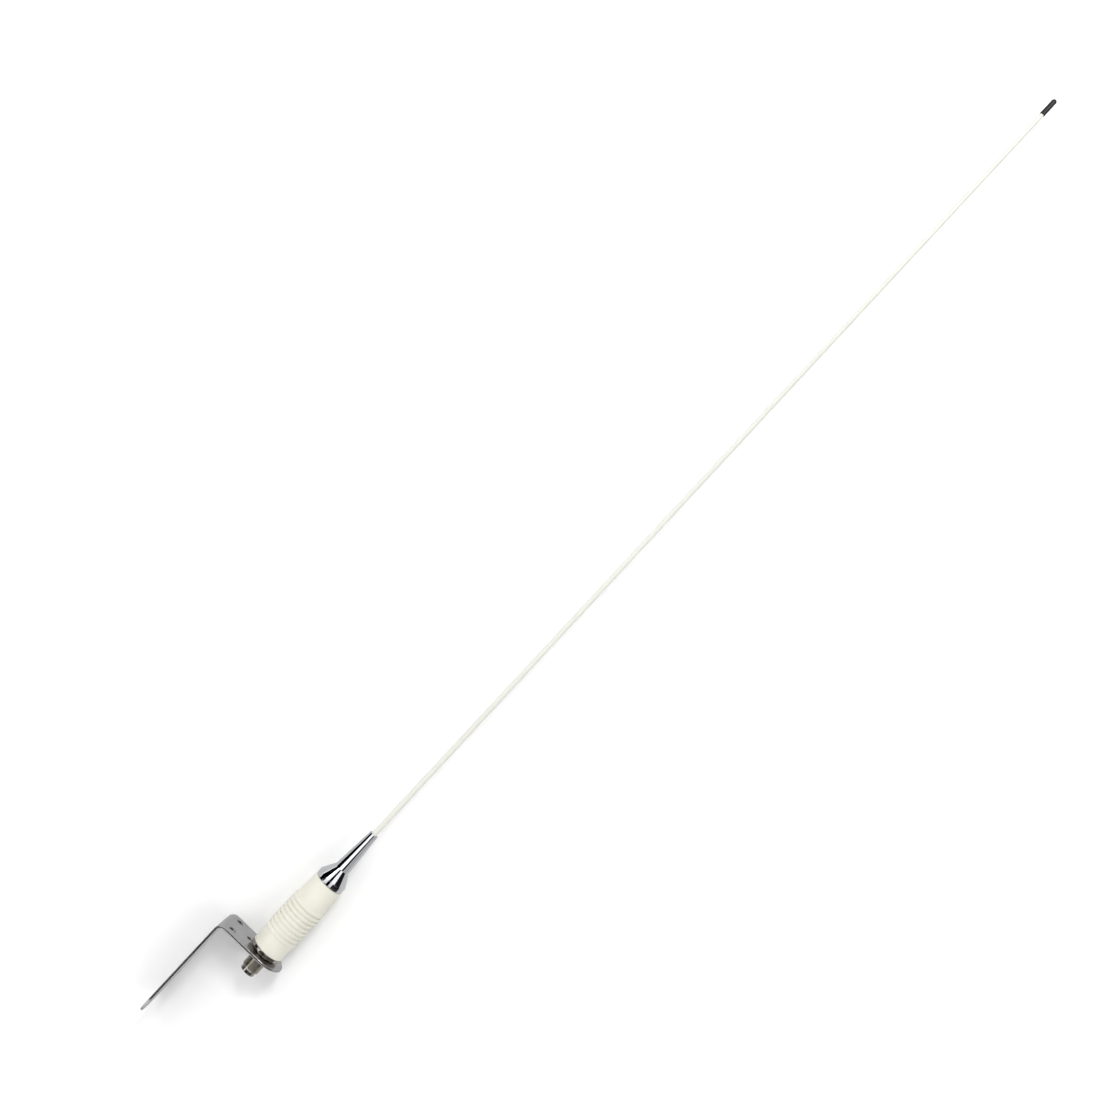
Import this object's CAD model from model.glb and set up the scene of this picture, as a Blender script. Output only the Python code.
"""Looks of the whip antenna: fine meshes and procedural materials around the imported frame.

Lengths are in metres unless a name ends in _MM, and sizes of round things are radii. The antenna's axis and
the bracket's plate come from the frame, and heights on the antenna count from the plate's top face.
"""

import math

import bmesh
import bpy
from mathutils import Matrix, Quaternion, Vector


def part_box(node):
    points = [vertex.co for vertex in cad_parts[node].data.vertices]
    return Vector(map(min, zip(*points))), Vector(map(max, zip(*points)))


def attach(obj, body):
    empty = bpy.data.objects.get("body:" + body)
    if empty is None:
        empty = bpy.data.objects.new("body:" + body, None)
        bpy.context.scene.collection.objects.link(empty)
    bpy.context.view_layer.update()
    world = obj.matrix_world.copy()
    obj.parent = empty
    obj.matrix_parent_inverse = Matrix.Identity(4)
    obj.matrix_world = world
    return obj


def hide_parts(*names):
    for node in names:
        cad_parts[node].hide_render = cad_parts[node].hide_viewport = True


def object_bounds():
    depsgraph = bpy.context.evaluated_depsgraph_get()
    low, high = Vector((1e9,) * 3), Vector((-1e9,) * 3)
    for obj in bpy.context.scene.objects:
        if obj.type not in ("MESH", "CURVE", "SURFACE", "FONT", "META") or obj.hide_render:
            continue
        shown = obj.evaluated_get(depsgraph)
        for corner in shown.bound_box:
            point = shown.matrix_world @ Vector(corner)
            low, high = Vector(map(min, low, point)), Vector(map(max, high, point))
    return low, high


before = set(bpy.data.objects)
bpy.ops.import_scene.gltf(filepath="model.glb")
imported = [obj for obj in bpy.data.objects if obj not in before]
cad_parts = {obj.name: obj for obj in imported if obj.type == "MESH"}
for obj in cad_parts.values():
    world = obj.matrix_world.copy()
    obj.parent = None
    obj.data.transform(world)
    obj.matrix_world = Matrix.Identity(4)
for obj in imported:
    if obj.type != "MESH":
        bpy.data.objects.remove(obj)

CAD_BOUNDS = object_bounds()
MM = 0.001
GAP_MM = 0.3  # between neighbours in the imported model

ROUND = 128  # facets round a large piece
SMALL_ROUND = 64  # facets round a small one

# Bracket
SHEET_MM = 2.2
BEND_RADIUS_MM = 7.0
PLATE_HOLE_MM = 8.3
SCREW_HOLE_MM = 3.2
HALF_HOLE_PAIR_MM = 12.1
PLATE_HOLES_MM = (16.3, 32.2)  # the single hole and the pair, from the antenna's axis
LEG_HOLES_MM = (17.0, 37.0)  # the same two from the plate's top, and mirrored from the leg's end

# Socket, nut and washer
THREAD_PITCH_MM = 25.4 / 24
THREAD_CREST_MM = 15.875 / 2
THREAD_DEPTH_MM = 0.6134 * THREAD_PITCH_MM
THREAD_SPAN_MM = (-16.6, -SHEET_MM - 0.2)
SHELL_BORE_MM = 6.0
SHELL_NOSE_MM = 6.8
SHELL_NOSE_TOP_MM = -17.6
SHELL_FLANGE_SPAN_MM = (6.0, 8.0)
STAKE_HEIGHT_MM = -18.9
CONTACT_STEM_MM = 2.0
CONTACT_STEP_MM = -6.3
PIN_HOLE_MM = 2.05
PIN_HOLE_FLOOR_MM = -7.5
SOLDER_CUP_MM = 1.2
SLIT_MM = (8.0, 0.45, 7.0)  # length across, width and depth
NUT_FLATS_MM = 19.05
NUT_TURN = math.radians(-27)
WASHER_TEETH = 12
TOOTH_ROOT_MM = 9.2
TOOTH_TIP_MM = 8.35

# Collar and housing
COLLAR_BORE_MM = 8.3
COLLAR_FOOT_MM = 12.45
COLLAR_TOP_MM = 5.0
SPIGOT_MM = 12.9
SPIGOT_BORE_MM = 10.8
O_RING_GROOVE_MM = (7.7, 9.5, 11.5)  # low side, high side and the radius of its floor
RIBS = 9
RIB_PITCH_MM = 4.13
RIB_WIDTH_MM = 2.9
FIRST_RIB_MM = 22.6  # middle of the lowest rib
HOUSING_RADII_MM = (15.0, 14.6, 13.5)  # foot, shoulder above the ribs, top
HOUSING_MOUTH_MM = 5.3
HOUSING_CEILING_MM = 74.0

# Ferrule and whip
STUD_BORE_MM = 3.3
STUD_BORE_END_MM = 93.0
GASKET_MM = (5.8, 12.0)
FERRULE_SEAT_MM = 81.6
FERRULE_BAND_TOP_MM = 85.0
FERRULE_SHOULDER_MM = (7.0, 96.2)  # radius and height
FERRULE_TIP_MM = 3.9
WHIP_SOCKET_MM = (2.95, 97.0)  # radius and floor
SHEATH_BORE_MM = 1.55
SHEATH_TIP_MM = 1.95
CAP_SOCKET_DEPTH_MM = 11.9
CAP_LIP_MM = 2.0
CAP_WAIST_MM = 0.12  # how far the cap steps in above its lip

BRACKET_LOW, BRACKET_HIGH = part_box("mounting_bracket")
SHELL_LOW, SHELL_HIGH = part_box("connector_shell")
PLATE_TOP = BRACKET_HIGH.z
AXIS = (SHELL_LOW + SHELL_HIGH) / 2
AXIS_POINT = Vector((AXIS.x, AXIS.y, PLATE_TOP))


def heights_mm(node):
    """Lowest and highest point of a CAD node above the plate's top, in millimetres."""
    low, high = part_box(node)
    return (low.z - PLATE_TOP) / MM, (high.z - PLATE_TOP) / MM


def radius_mm(node):
    low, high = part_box(node)
    return (high.x - low.x) / 2 / MM


# Node helpers for materials


class Shader:
    """A Principled material under construction, with short calls for the nodes used here.

    Its first colour and roughness stay where no node drives them.
    """

    def __init__(self, name, colour, roughness, metallic=0.0):
        self.material = bpy.data.materials.new(name)
        self.material.use_nodes = True
        self.tree = self.material.node_tree
        self.principled = self.tree.nodes["Principled BSDF"]
        self.principled.inputs["Base Color"].default_value = (*colour, 1.0)
        self.principled.inputs["Roughness"].default_value = roughness
        self.principled.inputs["Metallic"].default_value = metallic
        self.bump = None

    def node(self, kind, inputs=None, **settings):
        made = self.tree.nodes.new(kind)
        for key, value in settings.items():
            setattr(made, key, value)
        for key, value in (inputs or {}).items():
            if isinstance(value, bpy.types.NodeSocket):
                self.tree.links.new(value, made.inputs[key])
            else:
                made.inputs[key].default_value = value
        return made

    def place(self, scale=(1, 1, 1), attribute=None):
        """Coordinates in metres on the piece, stretched by scale."""
        if attribute:
            source = self.node("ShaderNodeAttribute", attribute_name=attribute).outputs["Vector"]
        else:
            source = self.node("ShaderNodeTexCoord").outputs["Object"]
        return self.node("ShaderNodeMapping", {"Vector": source, "Scale": scale}).outputs["Vector"]

    def noise(self, vector, scale, detail=3.0, roughness=0.5):
        inputs = {"Vector": vector, "Scale": scale, "Detail": detail, "Roughness": roughness}
        return self.node("ShaderNodeTexNoise", inputs).outputs["Fac"]

    def spread(self, value, low, high, start=0.3, end=0.7):
        """Maps a noise value between start and end to low and high."""
        inputs = {"Value": value, "From Min": start, "From Max": end, "To Min": low, "To Max": high}
        return self.node("ShaderNodeMapRange", inputs).outputs["Result"]

    def mix_colour(self, share, first, second):
        mix = self.node("ShaderNodeMix", data_type="RGBA")
        sockets = {socket.name: socket for socket in mix.inputs if socket.enabled}
        self.tree.links.new(share, sockets["Factor"])
        sockets["A"].default_value = (*first, 1.0)
        sockets["B"].default_value = (*second, 1.0)
        return [socket for socket in mix.outputs if socket.enabled][0]

    def drive(self, socket, value):
        self.tree.links.new(value, self.principled.inputs[socket])

    def add_bump(self, height, distance, strength=1.0):
        inputs = {"Height": height, "Distance": distance, "Strength": strength}
        if self.bump:
            inputs["Normal"] = self.bump
        self.bump = self.node("ShaderNodeBump", inputs).outputs["Normal"]
        self.drive("Normal", self.bump)


# Materials


def satin_stainless():
    """Tumbled sheet with a fine grain along the strip, read from the blank's own coordinates."""
    s = Shader("satin_stainless", (0.47, 0.465, 0.475), 0.32, 1.0)
    grain = s.noise(s.place((60, 2400, 60), "blank"), 1.0, 4.0, 0.6)
    clouds = s.noise(s.place((1, 1, 1), "blank"), 55.0, 3.0)
    pits = s.noise(s.place((1, 1, 1), "blank"), 2600.0, 2.0)
    s.drive("Roughness", s.spread(grain, 0.17, 0.27))
    s.drive("Base Color", s.mix_colour(s.spread(clouds, 0.0, 1.0), (0.50, 0.495, 0.50), (0.58, 0.575, 0.575)))
    s.add_bump(grain, 0.000012, 0.35)
    s.add_bump(pits, 0.00001, 0.3)
    return s.material


def satin_ring():
    """The washer's stainless steel, with faint punching marks."""
    s = Shader("satin_ring", (0.56, 0.56, 0.57), 0.34, 1.0)
    marks = s.noise(s.place(), 1400.0, 4.0, 0.6)
    s.drive("Roughness", s.spread(marks, 0.28, 0.44))
    s.add_bump(marks, 0.00002, 0.5)
    return s.material


def plated(name, colour, dull, roughness, turning):
    """Bright plating over turned metal: fine lathe rings, turning metres deep, and a few dull clouds."""
    s = Shader(name, colour, roughness, 1.0)
    rings = s.noise(s.place((15, 15, 5200)), 1.0, 3.0, 0.55)
    clouds = s.noise(s.place(), 120.0, 3.0)
    s.drive("Base Color", s.mix_colour(s.spread(clouds, 0.0, 1.0, 0.35, 0.75), colour, dull))
    s.drive("Roughness", s.spread(clouds, roughness * 0.75, roughness * 1.5))
    s.add_bump(rings, turning, 0.5)
    return s.material


def cream_plastic():
    """Moulded housing: a warm off-white that varies a little, with a faint mould texture."""
    s = Shader("cream_plastic", (0.735, 0.72, 0.63), 0.36)
    skin = s.noise(s.place(), 1900.0, 4.0, 0.6)
    wave = s.noise(s.place(), 70.0, 2.0)
    s.drive("Base Color", s.mix_colour(s.spread(wave, 0.0, 1.0), (0.75, 0.735, 0.65), (0.72, 0.705, 0.61)))
    s.drive("Roughness", s.spread(skin, 0.31, 0.42))
    s.add_bump(skin, 0.00002, 0.35)
    s.add_bump(wave, 0.00012, 0.15)
    s.principled.inputs["Subsurface Weight"].default_value = 0.06
    s.principled.inputs["Subsurface Radius"].default_value = (0.0012, 0.001, 0.0006)
    s.principled.inputs["Subsurface Scale"].default_value = 1.0
    s.principled.inputs["Specular IOR Level"].default_value = 0.5
    return s.material


def white_sheath():
    """Extruded white tube: drawing lines along the rod and a soft gloss."""
    s = Shader("white_sheath", (0.785, 0.78, 0.725), 0.28)
    lines = s.noise(s.place((2600, 2600, 12)), 1.0, 3.0, 0.55)
    skin = s.noise(s.place(), 900.0, 3.0)
    tint = s.noise(s.place((60, 60, 9)), 1.0, 2.0)
    s.drive("Base Color", s.mix_colour(s.spread(tint, 0.0, 1.0), (0.72, 0.715, 0.665), (0.70, 0.695, 0.64)))
    s.drive("Roughness", s.spread(skin, 0.24, 0.34))
    s.add_bump(lines, 0.00001, 0.15)
    return s.material


def black_cap():
    s = Shader("black_cap", (0.004, 0.004, 0.0045), 0.12)
    skin = s.noise(s.place(), 700.0, 3.0)
    dust = s.noise(s.place(), 5200.0, 2.0)
    s.drive("Roughness", s.spread(skin, 0.09, 0.2))
    specks = s.spread(dust, 0.0, 1.0, 0.6, 0.8)
    s.drive("Base Color", s.mix_colour(specks, (0.0035, 0.0035, 0.004), (0.012, 0.012, 0.013)))
    s.add_bump(skin, 0.00003, 0.25)
    s.principled.inputs["Specular IOR Level"].default_value = 0.4
    return s.material


def black_rubber():
    s = Shader("black_rubber", (0.02, 0.02, 0.021), 0.7)
    skin = s.noise(s.place(), 3200.0, 4.0, 0.6)
    s.drive("Roughness", s.spread(skin, 0.58, 0.85))
    s.drive("Base Color", s.mix_colour(s.spread(skin, 0.0, 1.0), (0.016, 0.016, 0.017), (0.03, 0.03, 0.031)))
    s.add_bump(skin, 0.00004, 0.6)
    return s.material


def plain_plastic(name, colour, lighter, roughness):
    s = Shader(name, colour, roughness)
    skin = s.noise(s.place(), 1500.0, 4.0, 0.6)
    s.drive("Base Color", s.mix_colour(s.spread(skin, 0.0, 1.0), colour, lighter))
    s.drive("Roughness", s.spread(skin, roughness - 0.08, roughness + 0.1))
    s.add_bump(skin, 0.00003, 0.4)
    return s.material


def drawn_metal(name, colour, darker, roughness):
    """Wire, rod and brass turned or drawn without plating."""
    s = Shader(name, colour, roughness, 1.0)
    lines = s.noise(s.place((30, 30, 3200)), 1.0, 4.0, 0.6)
    stain = s.noise(s.place(), 260.0, 4.0)
    s.drive("Base Color", s.mix_colour(s.spread(stain, 0.0, 1.0, 0.4, 0.75), colour, darker))
    s.drive("Roughness", s.spread(stain, roughness, roughness + 0.16))
    s.add_bump(lines, 0.00002, 0.5)
    return s.material


# Mesh helpers, in millimetres on the antenna's axis


def finish_mesh(name, bm, material, body, node, crease_deg=32):
    """Turns a millimetre bmesh on the antenna's axis into a piece that stands for one CAD node."""
    bmesh.ops.remove_doubles(bm, verts=bm.verts, dist=1e-4)
    bmesh.ops.recalc_face_normals(bm, faces=bm.faces)
    for vert in bm.verts:
        vert.co = AXIS_POINT + vert.co * MM
    mesh = bpy.data.meshes.new(name)
    bm.to_mesh(mesh)
    bm.free()
    mesh.shade_smooth()
    mesh.set_sharp_from_angle(angle=math.radians(crease_deg))
    mesh.materials.append(material)
    piece = bpy.data.objects.new(name, mesh)
    bpy.context.scene.collection.objects.link(piece)
    weigh = piece.modifiers.new("normals", "WEIGHTED_NORMAL")
    weigh.keep_sharp = True
    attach(piece, body)
    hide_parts(node)
    return piece


def rounded(outline, radii, steps=4):
    """An outline whose corners are rounded: radii gives a radius for each point, 0 to keep it sharp."""
    count = len(outline)
    points = []
    for i, radius in enumerate(radii):
        here = Vector(outline[i])
        if radius <= 0 or i in (0, count - 1) and outline[0][0] == 0:
            points.append(tuple(here))
            continue
        back = Vector(outline[i - 1]) - here
        ahead = Vector(outline[(i + 1) % count]) - here
        half_angle = back.angle(ahead) / 2
        reach = min(radius / math.tan(half_angle), back.length * 0.49, ahead.length * 0.49)
        start = here + back.normalized() * reach
        end = here + ahead.normalized() * reach
        for step in range(steps + 1):
            share = step / steps
            blend = (1 - share) ** 2 * start + 2 * share * (1 - share) * here + share ** 2 * end
            points.append(tuple(blend))
    return points


def lathe(outline, segments=ROUND, shape=None):
    """Sweeps (radius, height) points round the axis. shape(radius, height, angle) may change a radius."""
    closed = outline[0][0] > 0 or outline[-1][0] > 0
    bm = bmesh.new()
    rings = []
    for radius, height in outline:
        if radius == 0:
            rings.append([bm.verts.new((0, 0, height))] * segments)
            continue
        ring = []
        for i in range(segments):
            angle = math.tau * i / segments
            reach = shape(radius, height, angle) if shape else radius
            ring.append(bm.verts.new((reach * math.cos(angle), reach * math.sin(angle), height)))
        rings.append(ring)
    pairs = list(zip(rings, rings[1:])) + ([(rings[-1], rings[0])] if closed else [])
    for lower, upper in pairs:
        for i in range(segments):
            j = (i + 1) % segments
            corners = [lower[i], lower[j], upper[j], upper[i]]
            kept = [v for k, v in enumerate(corners) if v not in corners[:k]]
            if len(kept) > 2:
                bm.faces.new(kept)
    return bm


def circle(radius, segments, x=0.0, y=0.0, start=0.0):
    angles = [start + math.tau * i / segments for i in range(segments)]
    return [(x + radius * math.cos(a), y + radius * math.sin(a)) for a in angles]


def subdivide_line(points, most):
    """Adds points so that no stretch between neighbours is longer than most."""
    dense = [points[0]]
    for a, b in zip(points, points[1:]):
        parts = max(1, math.ceil(math.dist(a, b) / most))
        for k in range(1, parts + 1):
            dense.append((a[0] + (b[0] - a[0]) * k / parts, a[1] + (b[1] - a[1]) * k / parts))
    return dense


# Bracket: a rounded blank with holes, folded over the bend


def blank_to_bracket(length, width, depth, reach, bend_start, bend_length):
    """Where a point of the flat blank lies once folded. depth runs from the outer face inwards."""
    if length <= bend_start:
        return -length, width, -depth
    if length >= bend_start + bend_length:
        return -reach + depth, width, -BEND_RADIUS_MM - (length - bend_start - bend_length)
    angle = (length - bend_start) / bend_length * math.pi / 2
    radius = BEND_RADIUS_MM - depth
    return -bend_start - radius * math.sin(angle), width, radius * math.cos(angle) - BEND_RADIUS_MM


def make_bracket(material):
    drop = (PLATE_TOP - BRACKET_LOW.z) / MM
    reach = (AXIS_POINT.x - BRACKET_LOW.x) / MM
    half = (BRACKET_HIGH.y - BRACKET_LOW.y) / 2 / MM
    bend_start = reach - BEND_RADIUS_MM
    bend_length = (BEND_RADIUS_MM - SHEET_MM / 2) * math.pi / 2
    leg_start = bend_start + bend_length - BEND_RADIUS_MM
    blank_end = leg_start + drop

    steps = 48
    turns = [math.pi * i / steps for i in range(steps + 1)]
    edge = [(-half * math.sin(a), -half * math.cos(a)) for a in turns]
    edge += [(blank_end - half + half * math.sin(a), half * math.cos(a)) for a in turns]

    holes = [(0, 0, PLATE_HOLE_MM), (PLATE_HOLES_MM[0], 0, SCREW_HOLE_MM)]
    for along in (LEG_HOLES_MM[0], drop - LEG_HOLES_MM[0]):
        holes.append((leg_start + along, 0, SCREW_HOLE_MM))
    for along in (PLATE_HOLES_MM[1], leg_start + LEG_HOLES_MM[1], leg_start + drop - LEG_HOLES_MM[1]):
        holes += [(along, side * HALF_HOLE_PAIR_MM, SCREW_HOLE_MM) for side in (-1, 1)]

    bm = bmesh.new()
    loops = [edge] + [circle(r, 72 if r == PLATE_HOLE_MM else 40, x, y) for x, y, r in holes]
    for loop in loops:
        verts = [bm.verts.new((x, y, 0)) for x, y in loop]
        for ends in zip(verts, verts[1:] + verts[:1]):
            bm.edges.new(ends)
    bmesh.ops.triangle_fill(bm, edges=bm.edges, use_beauty=True)
    bend_steps = 20
    for i in range(bend_steps + 1):
        across = bend_start + bend_length * i / bend_steps
        everything = bm.verts[:] + bm.edges[:] + bm.faces[:]
        bmesh.ops.bisect_plane(bm, geom=everything, dist=1e-4, plane_co=(across, 0, 0), plane_no=(1, 0, 0))
    under = bmesh.ops.extrude_face_region(bm, geom=bm.faces[:])
    raised = [item for item in under["geom"] if isinstance(item, bmesh.types.BMVert)]
    bmesh.ops.translate(bm, vec=(0, 0, SHEET_MM), verts=raised)
    bm.normal_update()

    weight = bm.edges.layers.float.new("bevel_weight_edge")
    blank = bm.verts.layers.float_vector.new("blank")
    for item in bm.edges:
        if len(item.link_faces) == 2 and item.calc_face_angle(0) > math.radians(60):
            in_hole = any(math.dist(item.verts[0].co.xy, (x, y)) < r + 0.2 for x, y, r in holes)
            item[weight] = 0.35 if in_hole else 1.0
    for vert in bm.verts:
        vert[blank] = vert.co * MM
        vert.co = blank_to_bracket(*vert.co, reach, bend_start, bend_length)
    piece = finish_mesh("bracket_sheet", bm, material, "bracket", "mounting_bracket", 40)
    bevel = piece.modifiers.new("edges", "BEVEL")
    bevel.limit_method = "WEIGHT"
    bevel.width = 0.75 * MM
    bevel.segments = 4
    bevel.harden_normals = True


# Socket, nut and washer


def thread_depth(height, angle, low, high, depth):
    """How far a point of a threaded barrel lies inside the crest, for a right-hand thread."""
    run_out = min(1.0, max(0.0, (height - low) / THREAD_PITCH_MM), max(0.0, (high - height) / THREAD_PITCH_MM))
    phase = (height / THREAD_PITCH_MM - angle / math.tau) % 1.0
    flank = abs(phase - 0.5) * 2
    return depth * run_out * min(1.0, max(0.0, (flank - 0.15) / 0.65))


def make_shell(material):
    """The socket's barrel: a helical thread, a plain nose with four stake marks, a flange and a lipped neck."""
    low, high = heights_mm("connector_shell")
    flange = radius_mm("connector_shell")
    lip = (SHELL_BORE_MM - 1.0, high - 1.5)
    foot = rounded(
        [
            (SHELL_BORE_MM, low), (SHELL_NOSE_MM, low), (SHELL_NOSE_MM, SHELL_NOSE_TOP_MM),
            (THREAD_CREST_MM - THREAD_DEPTH_MM, SHELL_NOSE_TOP_MM + 0.35),
        ],
        [0.25, 0.3, 0.15, 0.0],
    )
    shoulder = (THREAD_CREST_MM - 0.35, SHELL_NOSE_TOP_MM + 0.65)
    barrel = [(THREAD_CREST_MM, height) for height in THREAD_SPAN_MM]
    neck = [
        (THREAD_CREST_MM, SHELL_FLANGE_SPAN_MM[0]), (flange, SHELL_FLANGE_SPAN_MM[0]),
        (flange, SHELL_FLANGE_SPAN_MM[1]), (THREAD_CREST_MM, SHELL_FLANGE_SPAN_MM[1]),
        (THREAD_CREST_MM, high), (lip[0], high), lip, (SHELL_BORE_MM, lip[1]),
    ]

    def threaded(radius, height, angle):
        if radius < THREAD_CREST_MM - 1e-6 or not THREAD_SPAN_MM[0] <= height <= THREAD_SPAN_MM[1]:
            return radius
        return radius - thread_depth(height, angle, *THREAD_SPAN_MM, THREAD_DEPTH_MM)

    outline = foot + [shoulder] + subdivide_line(barrel, THREAD_PITCH_MM / 12) + neck
    bm = lathe(outline, 96, threaded)
    shell = finish_mesh("coax_barrel", bm, material, "antenna", "connector_shell", 45)

    stake = bmesh.new()
    for i in range(4):
        angle = math.pi / 4 + math.pi / 2 * i
        for vert in bmesh.ops.create_cube(stake, size=1.0)["verts"]:
            x, y, z = vert.co.x * 0.9 + SHELL_NOSE_MM, vert.co.y * 2.0, vert.co.z * 0.6 + STAKE_HEIGHT_MM
            vert.co = (x * math.cos(angle) - y * math.sin(angle), x * math.sin(angle) + y * math.cos(angle), z)
    cut(shell, stake, "stake_marks")


def make_dielectric(material):
    low, high = heights_mm("connector_insulator")
    outer = radius_mm("connector_insulator")
    bore, stem_bore = radius_mm("center_contact") + GAP_MM, CONTACT_STEM_MM + GAP_MM
    step = CONTACT_STEP_MM + GAP_MM
    outline = [
        (bore, low), (outer, low), (outer, high - 2.4), (outer - 1, high - 2.4),
        (outer - 1, high), (stem_bore, high), (stem_bore, step), (bore, step),
    ]
    bm = lathe(rounded(outline, [0.2, 0.3, 0.2, 0.1, 0.2, 0.1, 0, 0]), SMALL_ROUND)
    finish_mesh("socket_dielectric", bm, material, "antenna", "connector_insulator")


def make_contact(material):
    """The centre contact: a tube for the plug's pin, slit crosswise into four fingers."""
    low, high = heights_mm("center_contact")
    outer = radius_mm("center_contact")
    cup_floor = high - 3
    outline = [
        (0, PIN_HOLE_FLOOR_MM), (PIN_HOLE_MM, PIN_HOLE_FLOOR_MM), (PIN_HOLE_MM, low), (outer, low),
        (outer, CONTACT_STEP_MM), (CONTACT_STEM_MM, CONTACT_STEP_MM), (CONTACT_STEM_MM, high),
        (SOLDER_CUP_MM, high), (SOLDER_CUP_MM, cup_floor), (0, cup_floor),
    ]
    bm = lathe(rounded(outline, [0, 0, 0.35, 0.3, 0.2, 0, 0.1, 0.1, 0, 0]), SMALL_ROUND)
    contact = finish_mesh("socket_contact", bm, material, "antenna", "center_contact")
    across, width, depth = SLIT_MM
    for turn in (0, 1):
        slit = bmesh.new()
        for vert in bmesh.ops.create_cube(slit, size=1.0)["verts"]:
            x, y, z = vert.co.x * across, vert.co.y * width, vert.co.z * depth + low + 2.5
            vert.co = (y, x, z) if turn else (x, y, z)
        cut(contact, slit, f"slit_{turn}")


def cut(piece, bm, name):
    """Cuts a millimetre bmesh on the axis out of a piece, and leaves nothing of it in the scene."""
    bmesh.ops.recalc_face_normals(bm, faces=bm.faces)
    for vert in bm.verts:
        vert.co = AXIS_POINT + vert.co * MM
    mesh = bpy.data.meshes.new(name)
    bm.to_mesh(mesh)
    bm.free()
    cutter = bpy.data.objects.new(name, mesh)
    bpy.context.scene.collection.objects.link(cutter)
    step = piece.modifiers.new(name, "BOOLEAN")
    step.operation = "DIFFERENCE"
    step.object = cutter
    apply_modifiers(piece)
    bpy.data.objects.remove(cutter)


def apply_modifiers(piece):
    bpy.context.view_layer.update()
    evaluated = piece.evaluated_get(bpy.context.evaluated_depsgraph_get())
    mesh = bpy.data.meshes.new_from_object(evaluated)
    old = piece.data
    piece.modifiers.clear()
    piece.data = mesh
    bpy.data.meshes.remove(old)


def hexagon_reach(angle):
    """Distance from the axis to the nut's side."""
    side = (angle - NUT_TURN + math.pi / 6) % (math.pi / 3) - math.pi / 6
    return NUT_FLATS_MM / 2 / math.cos(side)


def make_nut(material):
    """A hexagon nut with chamfered corners and a thread in its bore."""
    low, high = heights_mm("mounting_nut")
    bore = THREAD_CREST_MM + GAP_MM
    chamfer = NUT_FLATS_MM / 2 * 0.99
    corner = NUT_FLATS_MM / math.sqrt(3)
    slope = math.tan(math.radians(30))
    drop = (corner - chamfer) * slope
    inner = subdivide_line([(bore, high), (bore, low)], THREAD_PITCH_MM / 8)
    flat_rows = [low + (high - low) * k / 6 for k in range(7)]
    outline = [(chamfer, low)] + [(corner, height) for height in flat_rows] + [(chamfer, high)] + inner

    def shape(radius, height, angle):
        if radius == corner:
            cone = corner - max(0.0, drop - (height - low), drop - (high - height)) / slope
            return min(hexagon_reach(angle), cone)
        if radius == bore:
            span = (low - THREAD_PITCH_MM, high + THREAD_PITCH_MM)
            return bore + thread_depth(height, angle, *span, 0.5 * THREAD_PITCH_MM) * 0.6
        return radius

    bm = lathe(outline, 144, shape)
    finish_mesh("thin_hex_nut", bm, material, "mounting_nut", "mounting_nut", 25)


def make_washer(material):
    """A lock washer whose inner teeth are twisted out of its plane."""
    low, high = heights_mm("lock_washer")
    outer = radius_mm("lock_washer")
    middle = (low + high) / 2
    half = (high - low) / 2
    outline = [(TOOTH_ROOT_MM, low), (outer, low), (outer, high), (TOOTH_ROOT_MM, high)]
    bm = lathe(rounded(outline, [0, 0.15, 0.15, 0]), 96)
    half_width = math.tau / WASHER_TEETH * 0.25
    for i in range(WASHER_TEETH):
        centre = math.tau * (i + 0.75) / WASHER_TEETH
        corners = []
        for radius, twist in ((TOOTH_TIP_MM, 0.55), (TOOTH_ROOT_MM + 0.15, 0.55 * 0.3)):
            for side in (-1, 1):
                angle = centre + side * half_width
                for face in (-1, 1):
                    z = middle + side * half * twist + face * half * 0.42
                    corners.append(bm.verts.new((radius * math.cos(angle), radius * math.sin(angle), z)))
        a, b, c, d, e, f, g, h = corners
        for quad in ((a, b, d, c), (e, g, h, f), (a, e, f, b), (c, d, h, g), (a, c, g, e), (b, f, h, d)):
            bm.faces.new(quad)
    finish_mesh("toothed_washer", bm, material, "lock_washer", "lock_washer")


# Collar, housing, ferrule


def make_collar(material):
    low, high = heights_mm("base_collar")
    rim = radius_mm("base_collar")
    groove_low, groove_high, groove_floor = O_RING_GROOVE_MM
    taper_top = COLLAR_TOP_MM / 2 - 0.05
    ledge = SHELL_FLANGE_SPAN_MM[0] - GAP_MM
    outline = [
        (COLLAR_BORE_MM, low), (COLLAR_FOOT_MM, low), (rim - 0.1, taper_top), (rim, taper_top + 0.15),
        (rim, COLLAR_TOP_MM), (SPIGOT_MM, COLLAR_TOP_MM), (SPIGOT_MM, groove_low), (groove_floor, groove_low),
        (groove_floor, groove_high), (SPIGOT_MM, groove_high), (SPIGOT_MM, high), (SPIGOT_BORE_MM, high),
        (SPIGOT_BORE_MM, ledge), (COLLAR_BORE_MM, ledge),
    ]
    radii = [0.1, 0.25, 0.12, 0.12, 0.3, 0.1, 0.1, 0.1, 0.1, 0.1, 0.2, 0.2, 0.1, 0.2]
    collar = lathe(rounded(outline, radii))
    finish_mesh("nickel_collar", collar, material, "antenna", "base_collar", 20)


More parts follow.
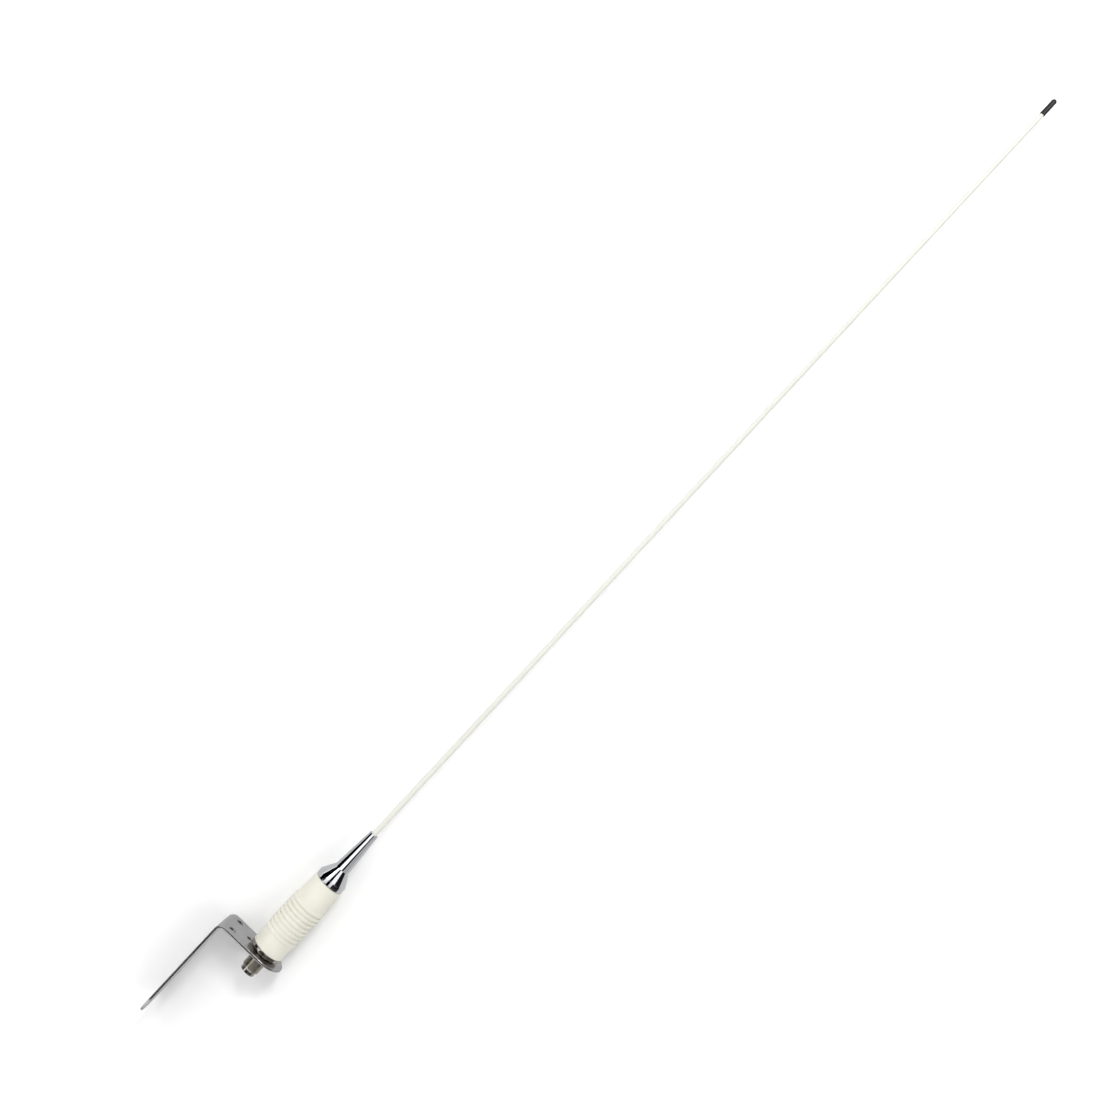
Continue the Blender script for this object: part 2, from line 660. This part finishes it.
def housing_profile():
    """The housing's outline: nine raised ribs on a body that narrows towards the ferrule."""
    low, high = heights_mm("base_housing")
    crest = radius_mm("base_housing")
    shoulder = FIRST_RIB_MM + RIBS * RIB_PITCH_MM
    foot, neck, top = HOUSING_RADII_MM

    def plain(height):
        if height <= shoulder:
            return foot + (neck - foot) * (height - low) / (shoulder - low)
        return neck + (top - neck) * (height - shoulder) / (high - shoulder)

    outline, radii = [(foot, low)], [0.35]
    for i in range(RIBS):
        middle = FIRST_RIB_MM + i * RIB_PITCH_MM
        start, end = middle - RIB_WIDTH_MM / 2, middle + RIB_WIDTH_MM / 2
        outline += [(plain(start), start), (crest, start + 0.12), (crest, end - 0.12), (plain(end), end)]
        radii += [0.25, 0.55, 0.55, 0.25]
    for share in (0.25, 0.5, 0.75):
        height = shoulder + (high - shoulder) * share
        outline.append((plain(height), height))
        radii.append(0)
    outline += [
        (top, high), (HOUSING_MOUTH_MM, high), (HOUSING_MOUTH_MM, HOUSING_CEILING_MM),
        (SPIGOT_MM - 0.9, HOUSING_CEILING_MM), (SPIGOT_MM, 13.0), (SPIGOT_MM + GAP_MM, 12.6),
        (SPIGOT_MM + GAP_MM, low),
    ]
    radii += [0.35, 0.1, 0.1, 0.8, 0.1, 0.1, 0.2]
    return rounded(outline, radii)


def make_housing(material):
    bm = lathe(housing_profile())
    finish_mesh("ribbed_housing", bm, material, "antenna", "base_housing", 50)


def make_gasket(material):
    low, high = heights_mm("ferrule_gasket")
    inner, outer = GASKET_MM
    outline = rounded([(inner, low), (outer, low), (outer, high), (inner, high)], [0.2, 0.4, 0.4, 0.2])
    finish_mesh("rubber_gasket", lathe(outline), material, "gasket", "ferrule_gasket")


def make_ferrule(material):
    low, high = heights_mm("ferrule")
    foot = radius_mm("ferrule")
    recess = GASKET_MM[1] + GAP_MM
    socket, socket_floor = WHIP_SOCKET_MM
    outline = [
        (0, STUD_BORE_END_MM), (STUD_BORE_MM, STUD_BORE_END_MM), (STUD_BORE_MM, FERRULE_SEAT_MM),
        (recess, FERRULE_SEAT_MM), (recess, low), (foot, low), (foot, FERRULE_BAND_TOP_MM),
        FERRULE_SHOULDER_MM, (FERRULE_TIP_MM, high), (socket, high), (socket, socket_floor), (0, socket_floor),
    ]
    radii = [0, 0, 0.2, 0.2, 0.1, 0.25, 0.3, 0.8, 0.3, 0.15, 0, 0]
    bm = lathe(rounded(outline, radii, 5), 160)
    finish_mesh("chrome_ferrule", bm, material, "whip", "ferrule", 28)


# Whip


def make_sheath(material):
    """The rod: straight inside the ferrule, then tapering all the way to the cap."""
    low, high = heights_mm("whip_sheath")
    start = heights_mm("ferrule")[1]
    wide = radius_mm("whip_sheath")
    rows = 60
    outline = [(SHEATH_BORE_MM, low), (wide, low), (wide, start)]
    for k in range(1, rows):
        share = k / rows
        outline.append((wide + (SHEATH_TIP_MM - wide) * share, start + (high - start) * share))
    outline += [(SHEATH_TIP_MM, high - 0.2), (SHEATH_TIP_MM - 0.15, high), (SHEATH_BORE_MM, high)]
    finish_mesh("rod_sheath", lathe(outline, 48), material, "whip", "whip_sheath", 45)


def make_core(material):
    low, high = heights_mm("whip_core")
    core = radius_mm("whip_core")
    outline = rounded([(0, low), (core, low), (core, high), (0, high)], [0, 0.2, 0.3, 0])
    finish_mesh("rod_core", lathe(outline, 32), material, "whip", "whip_core")


def make_sleeve(material):
    """The brass sleeve on the core's foot, with five crimped bands."""
    low, high = heights_mm("whip_sleeve")
    outer = radius_mm("whip_sleeve")
    waist = outer - 0.15
    outline = [(SHEATH_BORE_MM, low), (outer, low)]
    crimps = 5
    for k in range(crimps):
        start = low + (high - low) * (k + 0.2) / crimps
        end = low + (high - low) * (k + 0.8) / crimps
        outline += [(outer, start), (waist, start + 0.2), (waist, end - 0.2), (outer, end)]
    outline += [(outer, high), (SHEATH_BORE_MM, high)]
    finish_mesh("crimped_sleeve", lathe(outline, 48), material, "whip", "whip_sleeve")


def make_cap(material):
    """The tip's cap: a lip at its foot and a round nose."""
    low, high = heights_mm("tip_cap")
    outer = radius_mm("tip_cap")
    waist = outer - CAP_WAIST_MM
    ceiling, lip = low + CAP_SOCKET_DEPTH_MM, low + CAP_LIP_MM
    outline = rounded(
        [
            (0, ceiling), (SHEATH_BORE_MM, ceiling), (SHEATH_BORE_MM, low),
            (outer, low), (outer, lip), (waist, lip + 0.25),
        ],
        [0, 0, 0.15, 0.3, 0.12, 0.1],
    )
    nose = [math.pi / 2 * k / 14 for k in range(14)]
    outline += [(waist * math.cos(a), high - waist * (1 - math.sin(a))) for a in nose]
    outline.append((0, high))
    finish_mesh("tip_bead", lathe(outline, SMALL_ROUND), material, "whip", "tip_cap", 40)


# Pieces that keep their CAD shape


def dress_cad_nodes(materials):
    finishes = {
        "retaining_nut": "nickel",
        "ground_lug": "brass",
        "collar_o_ring": "rubber",
        "coil_former": "former",
        "coil_winding": "copper",
        "feed_lead": "sleeve",
        "ground_lead": "copper",
        "matching_capacitor": "ceramic",
        "top_lead": "copper",
        "top_solder_tag": "brass",
        "stud_nut": "nickel",
        "top_insert": "brass",
        "top_stud": "steel",
    }
    for node, finish in finishes.items():
        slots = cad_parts[node].data.materials
        slots.clear()
        slots.append(materials[finish])


# Stage: backdrop, floor, flags, lights and camera


def flat_sheet(name, corners, material):
    mesh = bpy.data.meshes.new(name)
    mesh.from_pydata(corners, [], [tuple(range(len(corners)))])
    mesh.materials.append(material)
    sheet = bpy.data.objects.new(name, mesh)
    bpy.context.scene.collection.objects.link(sheet)
    return sheet


def paper(name, seen_from_behind, glow, ray):
    """White matt paper that one kind of ray sees as an even glow, such as "Is Glossy Ray".

    Paper that isn't seen from behind is see-through from there.
    """
    material = bpy.data.materials.new(name)
    material.use_nodes = True
    nodes, links = material.node_tree.nodes, material.node_tree.links
    matt = nodes["Principled BSDF"]
    matt.inputs["Base Color"].default_value = (0.93, 0.93, 0.93, 1)
    matt.inputs["Roughness"].default_value = 0.9
    matt.inputs["Specular IOR Level"].default_value = 0.0
    front = nodes.new("ShaderNodeMixShader")
    links.new(nodes.new("ShaderNodeLightPath").outputs[ray], front.inputs["Fac"])
    links.new(matt.outputs[0], front.inputs[1])
    links.new(glow_shader(nodes, glow).outputs[0], front.inputs[2])
    surface = front
    if not seen_from_behind:
        surface = nodes.new("ShaderNodeMixShader")
        links.new(nodes.new("ShaderNodeNewGeometry").outputs["Backfacing"], surface.inputs["Fac"])
        links.new(front.outputs[0], surface.inputs[1])
        links.new(nodes.new("ShaderNodeBsdfTransparent").outputs[0], surface.inputs[2])
    links.new(surface.outputs[0], nodes["Material Output"].inputs["Surface"])
    return material


# Screens round the antenna that only reflections see. Each row has the start and end angle in degrees,
# where 0 is the camera's side, the low and high edge in metres, and the brightness.
# The last row is a strip light for the tip.
FLAG_RADIUS = 0.8
FLAGS = (
    (-90, -53, -2.0, -0.1, 0.02),
    (-30, 10, -2.0, -0.1, 0.02),
    (10, 90, -2.0, -0.1, 0.1),
    (-78, -38, -0.1, 0.02, 0.0),
    (-12, 8, -0.1, 0.02, 0.0),
    (29, 92, -0.1, 0.02, 0.01),
    (-84, -34, 0.02, 0.35, 0.0),
    (-34, 10, 0.02, 0.35, 1.3),
    (10, 34, 0.02, 0.35, 0.0),
    (34, 95, 0.02, 0.35, 0.42),
    (-84, -42, 0.35, 3.0, 0.0),
    (-12, 9, 0.35, 3.0, 0.0),
    (44, 102, 0.35, 3.0, 0.01),
    (12, 24, 1.15, 2.4, 14.0),
)


# Soft boxes aimed at the middle of the antenna: place, side in metres, power in watts, seen in reflections
LIGHT_TARGET = Vector((0.05, 0, 0.4))
LIGHTS = {
    "key": ((-2.4, -2.6, 1.8), 2.8, 50, True),
    "front": ((-0.3, -1.9, 2.0), 0.6, 27, False),
    "fill": ((2.4, -2.5, 0.4), 2.2, 27, True),
}


def glow_shader(nodes, strength):
    shader = nodes.new("ShaderNodeEmission")
    shader.inputs["Color"].default_value = (1, 1, 1, 1)
    shader.inputs["Strength"].default_value = strength
    return shader


def make_flag(name, start_deg, end_deg, low, high, strength):
    """A screen on an arc round the antenna: black at strength 0, a lamp above 1."""
    material = bpy.data.materials.new(name)
    material.use_nodes = True
    nodes = material.node_tree.nodes
    shader = glow_shader(nodes, strength)
    material.node_tree.links.new(shader.outputs[0], nodes["Material Output"].inputs["Surface"])
    steps = 12
    mesh = bpy.data.meshes.new(name)
    verts, faces = [], []
    for i in range(steps + 1):
        angle = math.radians(start_deg + (end_deg - start_deg) * i / steps)
        x, y = AXIS.x + FLAG_RADIUS * math.sin(angle), -FLAG_RADIUS * math.cos(angle)
        verts += [(x, y, low), (x, y, high)]
    for i in range(steps):
        faces.append((2 * i, 2 * i + 1, 2 * i + 3, 2 * i + 2))
    mesh.from_pydata(verts, [], faces)
    mesh.materials.append(material)
    flag = bpy.data.objects.new(name, mesh)
    bpy.context.scene.collection.objects.link(flag)
    for ray in ("camera", "diffuse", "shadow", "transmission", "volume_scatter"):
        setattr(flag, f"visible_{ray}", False)


def make_light(name, place, side, power, reflected):
    data = bpy.data.lights.new(name, "AREA")
    data.shape = "RECTANGLE"
    data.size = side
    data.size_y = side
    data.energy = power
    light = bpy.data.objects.new(name, data)
    light.location = place
    light.rotation_mode = "QUATERNION"
    light.rotation_quaternion = (LIGHT_TARGET - Vector(place)).to_track_quat("-Z", "Y")
    light.visible_camera = False
    light.visible_glossy = reflected
    bpy.context.scene.collection.objects.link(light)


def make_world():
    """An even white room, brighter for the camera and reflections than as a light."""
    world = bpy.data.worlds.new("studio")
    bpy.context.scene.world = world
    world.use_nodes = True
    nodes, links = world.node_tree.nodes, world.node_tree.links
    ambient = nodes["Background"]
    bright = nodes.new("ShaderNodeBackground")
    for shader, strength in ((ambient, 0.45), (bright, 1.08)):
        shader.inputs["Color"].default_value = (1, 1, 1, 1)
        shader.inputs["Strength"].default_value = strength
    rays = nodes.new("ShaderNodeLightPath")
    either = nodes.new("ShaderNodeMath")
    either.operation = "MAXIMUM"
    links.new(rays.outputs["Is Camera Ray"], either.inputs[0])
    links.new(rays.outputs["Is Glossy Ray"], either.inputs[1])
    mix = nodes.new("ShaderNodeMixShader")
    links.new(either.outputs[0], mix.inputs["Fac"])
    links.new(ambient.outputs[0], mix.inputs[1])
    links.new(bright.outputs[0], mix.inputs[2])
    links.new(mix.outputs[0], nodes["World Output"].inputs["Surface"])


def make_stage():
    """Paper just behind the bracket's far edge, as if the antenna lay on it, and a floor far below."""
    sheet_y = BRACKET_HIGH.y + 0.4 * MM
    sheet_reach = 0.85
    floor_reach = 60
    floor_z = CAD_BOUNDS[0].z - 0.55
    middle = CAD_BOUNDS[0].lerp(CAD_BOUNDS[1], 0.5)
    corners = ((-1, -1), (1, -1), (1, 1), (-1, 1))
    backdrop = [(middle.x + a * sheet_reach, sheet_y, middle.z + b * sheet_reach) for a, b in corners]
    floor = [(a * floor_reach, b * floor_reach, floor_z) for a, b in corners]
    flat_sheet("backdrop", backdrop, paper("backdrop_paper", False, 0.58, "Is Glossy Ray"))
    flat_sheet("floor", floor, paper("floor_paper", True, 1.0, "Is Camera Ray"))
    for i, flag in enumerate(FLAGS):
        make_flag(f"flag_{i}", *flag)
    make_world()
    for name, settings in LIGHTS.items():
        make_light(name, *settings)


def make_camera():
    """Seen from in front and a third of the way up the whip, rolled so that the antenna leans to the right."""
    place = AXIS_POINT + Vector((0.0027, -1.1006, 0.3987))
    aim = AXIS_POINT + Vector((-0.0544, 0.0, 0.4109))
    roll = math.radians(42.9)
    data = bpy.data.cameras.new("camera")
    data.sensor_width = 36
    data.lens = 42.7
    data.clip_start, data.clip_end = 0.01, 50
    camera = bpy.data.objects.new("camera", data)
    camera.location = place
    camera.rotation_mode = "QUATERNION"
    look = (aim - place).to_track_quat("-Z", "Y")
    camera.rotation_quaternion = look @ Quaternion((0, 0, 1), roll)
    bpy.context.scene.collection.objects.link(camera)
    bpy.context.scene.camera = camera
    bpy.context.scene.view_settings.view_transform = "Standard"


def main():
    make_camera()
    materials = {
        "stainless": satin_stainless(),
        "ring": satin_ring(),
        "nickel": plated("nickel_plate", (0.60, 0.565, 0.51), (0.51, 0.475, 0.42), 0.13, 0.00001),
        "chrome": plated("chrome_plate", (0.86, 0.87, 0.90), (0.80, 0.81, 0.84), 0.035, 0.000002),
        "silvered": plated("silver_plate", (0.86, 0.83, 0.76), (0.72, 0.68, 0.58), 0.2, 0.00001),
        "brass": drawn_metal("brass", (0.74, 0.55, 0.26), (0.52, 0.36, 0.16), 0.26),
        "copper": drawn_metal("enamelled_copper", (0.68, 0.27, 0.12), (0.45, 0.15, 0.07), 0.22),
        "steel": drawn_metal("drawn_steel", (0.52, 0.52, 0.53), (0.42, 0.42, 0.42), 0.3),
        "cream": cream_plastic(),
        "sheath": white_sheath(),
        "cap": black_cap(),
        "rubber": black_rubber(),
        "dielectric": plain_plastic("dielectric", (0.86, 0.85, 0.82), (0.90, 0.89, 0.87), 0.45),
        "former": plain_plastic("former_plastic", (0.17, 0.16, 0.14), (0.22, 0.21, 0.19), 0.5),
        "ceramic": plain_plastic("ceramic_dip", (0.52, 0.24, 0.07), (0.60, 0.31, 0.11), 0.38),
        "sleeve": plain_plastic("green_sleeve", (0.04, 0.22, 0.09), (0.07, 0.28, 0.12), 0.45),
    }
    make_bracket(materials["stainless"])
    make_shell(materials["nickel"])
    make_dielectric(materials["dielectric"])
    make_contact(materials["silvered"])
    make_nut(materials["nickel"])
    make_washer(materials["ring"])
    make_collar(materials["nickel"])
    make_housing(materials["cream"])
    make_gasket(materials["rubber"])
    make_ferrule(materials["chrome"])
    make_sheath(materials["sheath"])
    make_core(materials["steel"])
    make_sleeve(materials["brass"])
    make_cap(materials["cap"])
    dress_cad_nodes(materials)
    make_stage()


main()
